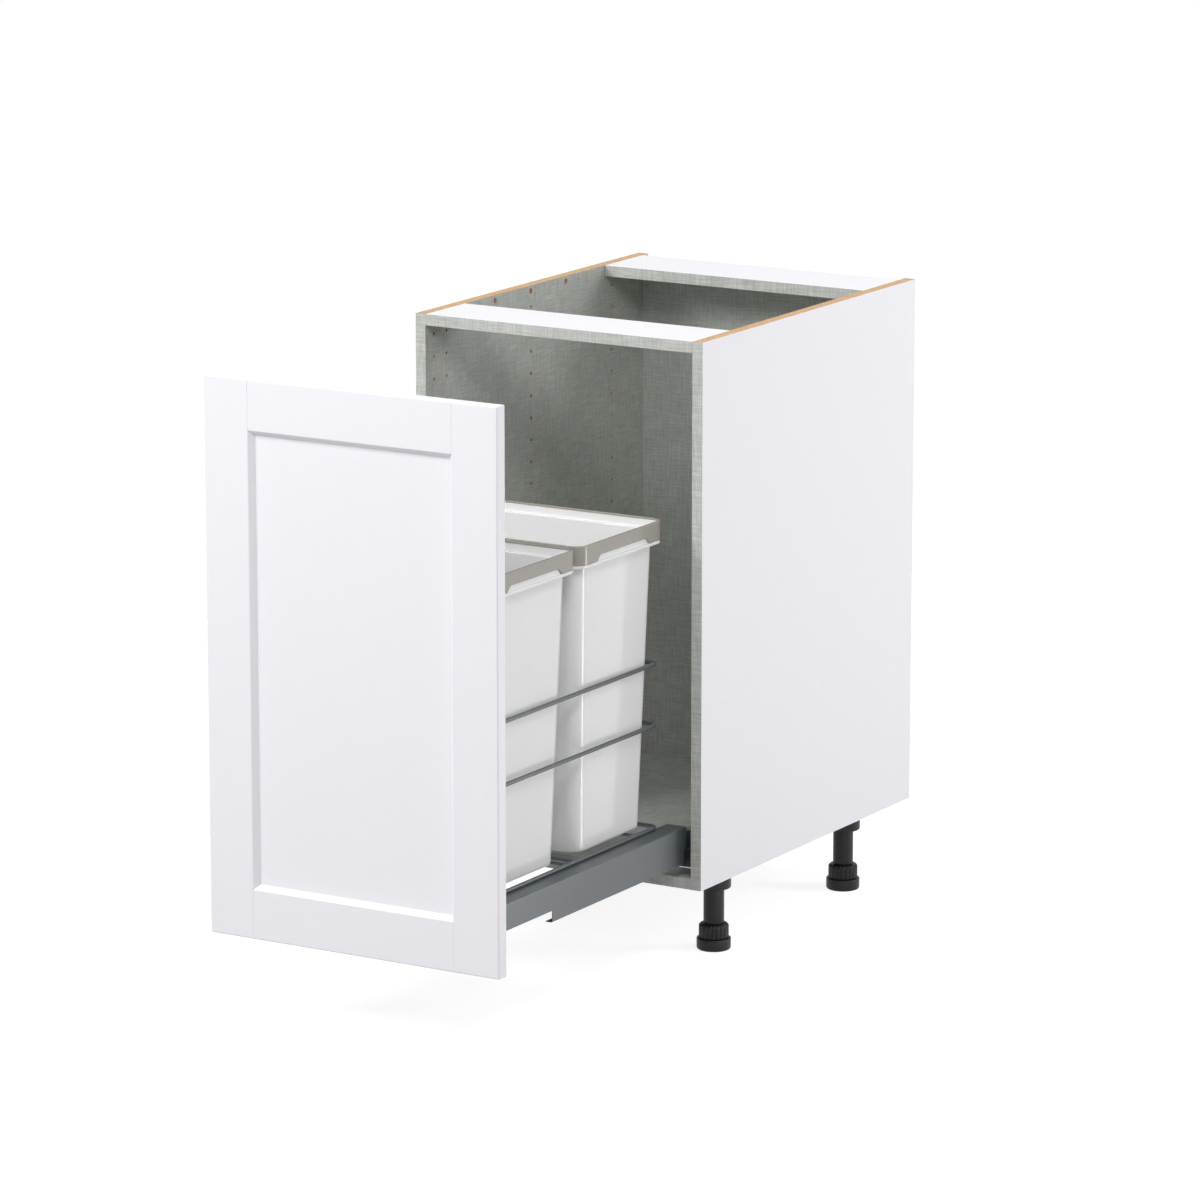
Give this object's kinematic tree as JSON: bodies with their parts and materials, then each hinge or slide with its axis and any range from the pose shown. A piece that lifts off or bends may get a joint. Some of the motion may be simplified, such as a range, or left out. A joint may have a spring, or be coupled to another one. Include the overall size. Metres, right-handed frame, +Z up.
{
  "type": "pull-out waste bin base cabinet",
  "caption": "Frameless base cabinet on levelling legs with a recessed-panel front that pulls out on concealed runners and carries waste bins in a wire frame.",
  "frame": {"origin": "on the floor, at the middle of the box round the opened cabinet", "axes": "+Z up, +Y towards the wall, +X to the right of someone facing the front; the front pulls out along -Y"},
  "size_m": [0.4572, 1.126, 0.8763],
  "materials": {
    "white_melamine_board": "satin white melamine outside, linen-pattern melamine inside, raw particle board top edges",
    "linen_melamine_board": "grey linen-pattern melamine",
    "beech_dowel": "raw fluted beech",
    "painted_front": "matt white painted front",
    "grey_coated_steel": "grey powder coat",
    "zinc_plated_steel": "bright zinc plate",
    "natural_nylon": "moulded nylon",
    "black_plastic": "moulded black plastic",
    "white_plastic": "fine matt moulded plastic",
    "taupe_plastic": "satin moulded plastic"
  },
  "bodies": {
    "case": {"side_panel_left": "white_melamine_board", "side_panel_right": "white_melamine_board", "bottom_panel": "linen_melamine_board", "back_panel": "linen_melamine_board", "front_stretcher": "linen_melamine_board", "rear_stretcher": "linen_melamine_board", "case_dowels": "beech_dowel", "cabinet_rail_left": "zinc_plated_steel", "cabinet_rail_right": "zinc_plated_steel", "rail_cap_left": "black_plastic", "rail_cap_right": "black_plastic", "rail_screws": "zinc_plated_steel", "leg_socket_front_left": "black_plastic", "leg_socket_front_right": "black_plastic", "leg_socket_rear_left": "black_plastic", "leg_socket_rear_right": "black_plastic", "leg_tube_front_left": "black_plastic", "leg_tube_front_right": "black_plastic", "leg_tube_rear_left": "black_plastic", "leg_tube_rear_right": "black_plastic"},
    "pullout": {"door_stile_left": "painted_front", "door_stile_right": "painted_front", "door_rail_top": "painted_front", "door_rail_bottom": "painted_front", "door_panel": "painted_front", "side_profile_left": "grey_coated_steel", "side_profile_right": "grey_coated_steel", "base_wire": "grey_coated_steel", "gallery_wire_lower": "grey_coated_steel", "gallery_wire_upper": "grey_coated_steel", "cross_wires": "grey_coated_steel", "front_bracket_left": "grey_coated_steel", "front_bracket_right": "grey_coated_steel", "drawer_member_left": "zinc_plated_steel", "drawer_member_right": "zinc_plated_steel", "front_screws": "zinc_plated_steel"},
    "runner_middle": {"middle_member_left": "zinc_plated_steel", "middle_member_right": "zinc_plated_steel"},
    "outer_roller_cages": {"outer_cage_left": "natural_nylon", "outer_cage_right": "natural_nylon"},
    "inner_roller_cages": {"inner_cage_left": "natural_nylon", "inner_cage_right": "natural_nylon"},
    "rear_bin": {"bin_rear": "white_plastic"},
    "rear_ring": {"bag_ring_rear": "taupe_plastic"},
    "front_bin": {"bin_front": "white_plastic"},
    "front_ring": {"bag_ring_front": "taupe_plastic"},
    "front_left_cup": {"foot_cup_front_left": "black_plastic"},
    "front_left_collar": {"foot_collar_front_left": "black_plastic"},
    "front_right_cup": {"foot_cup_front_right": "black_plastic"},
    "front_right_collar": {"foot_collar_front_right": "black_plastic"},
    "rear_left_cup": {"foot_cup_rear_left": "black_plastic"},
    "rear_left_collar": {"foot_collar_rear_left": "black_plastic"},
    "rear_right_cup": {"foot_cup_rear_right": "black_plastic"},
    "rear_right_collar": {"foot_collar_rear_right": "black_plastic"}
  },
  "joints": [
    {"name": "pullout_slide", "type": "slide", "parent": "case", "child": "pullout", "axis": [0, -1, 0], "range_m": [-0.5, 0]},
    {"name": "middle_slide", "type": "slide", "parent": "case", "child": "runner_middle", "axis": [0, -1, 0], "range_m": [-0.25, 0]},
    {"name": "outer_cage_roll", "type": "slide", "parent": "case", "child": "outer_roller_cages", "axis": [0, -1, 0], "range_m": [-0.125, 0]},
    {"name": "inner_cage_roll", "type": "slide", "parent": "case", "child": "inner_roller_cages", "axis": [0, -1, 0], "range_m": [-0.375, 0]},
    {"name": "rear_bin_lift", "type": "slide", "parent": "pullout", "child": "rear_bin", "axis": [0, 0, 1], "range_m": [0, 0.45]},
    {"name": "rear_ring_lift", "type": "slide", "parent": "rear_bin", "child": "rear_ring", "axis": [0, 0, 1], "range_m": [0, 0.1]},
    {"name": "front_bin_lift", "type": "slide", "parent": "pullout", "child": "front_bin", "axis": [0, 0, 1], "range_m": [0, 0.45]},
    {"name": "front_ring_lift", "type": "slide", "parent": "front_bin", "child": "front_ring", "axis": [0, 0, 1], "range_m": [0, 0.1]},
    {"name": "front_left_level", "type": "slide", "parent": "case", "child": "front_left_cup", "axis": [0, 0, -1], "range_m": [0, 0.0151]},
    {"name": "front_left_turn", "type": "hinge", "parent": "front_left_cup", "child": "front_left_collar", "pos_m": [-0.184, 0.071, 0.03], "axis": [0, 0, 1], "range_deg": [0, 1800]},
    {"name": "front_right_level", "type": "slide", "parent": "case", "child": "front_right_cup", "axis": [0, 0, -1], "range_m": [0, 0.0151]},
    {"name": "front_right_turn", "type": "hinge", "parent": "front_right_cup", "child": "front_right_collar", "pos_m": [0.184, 0.071, 0.03], "axis": [0, 0, 1], "range_deg": [0, 1800]},
    {"name": "rear_left_level", "type": "slide", "parent": "case", "child": "rear_left_cup", "axis": [0, 0, -1], "range_m": [0, 0.0151]},
    {"name": "rear_left_turn", "type": "hinge", "parent": "rear_left_cup", "child": "rear_left_collar", "pos_m": [-0.184, 0.445, 0.03], "axis": [0, 0, 1], "range_deg": [0, 1800]},
    {"name": "rear_right_level", "type": "slide", "parent": "case", "child": "rear_right_cup", "axis": [0, 0, -1], "range_m": [0, 0.0151]},
    {"name": "rear_right_turn", "type": "hinge", "parent": "rear_right_cup", "child": "rear_right_collar", "pos_m": [0.184, 0.445, 0.03], "axis": [0, 0, 1], "range_deg": [0, 1800]}
  ],
  "couplings": [
    {"joint": "middle_slide", "follows": "pullout_slide", "ratio": 0.5},
    {"joint": "outer_cage_roll", "follows": "pullout_slide", "ratio": 0.25},
    {"joint": "inner_cage_roll", "follows": "pullout_slide", "ratio": 0.75},
    {"joint": "front_left_level", "follows": "front_left_turn", "m_per_rad": 0.00047746},
    {"joint": "front_right_level", "follows": "front_right_turn", "m_per_rad": 0.00047746},
    {"joint": "rear_left_level", "follows": "rear_left_turn", "m_per_rad": 0.00047746},
    {"joint": "rear_right_level", "follows": "rear_right_turn", "m_per_rad": 0.00047746}
  ]
}
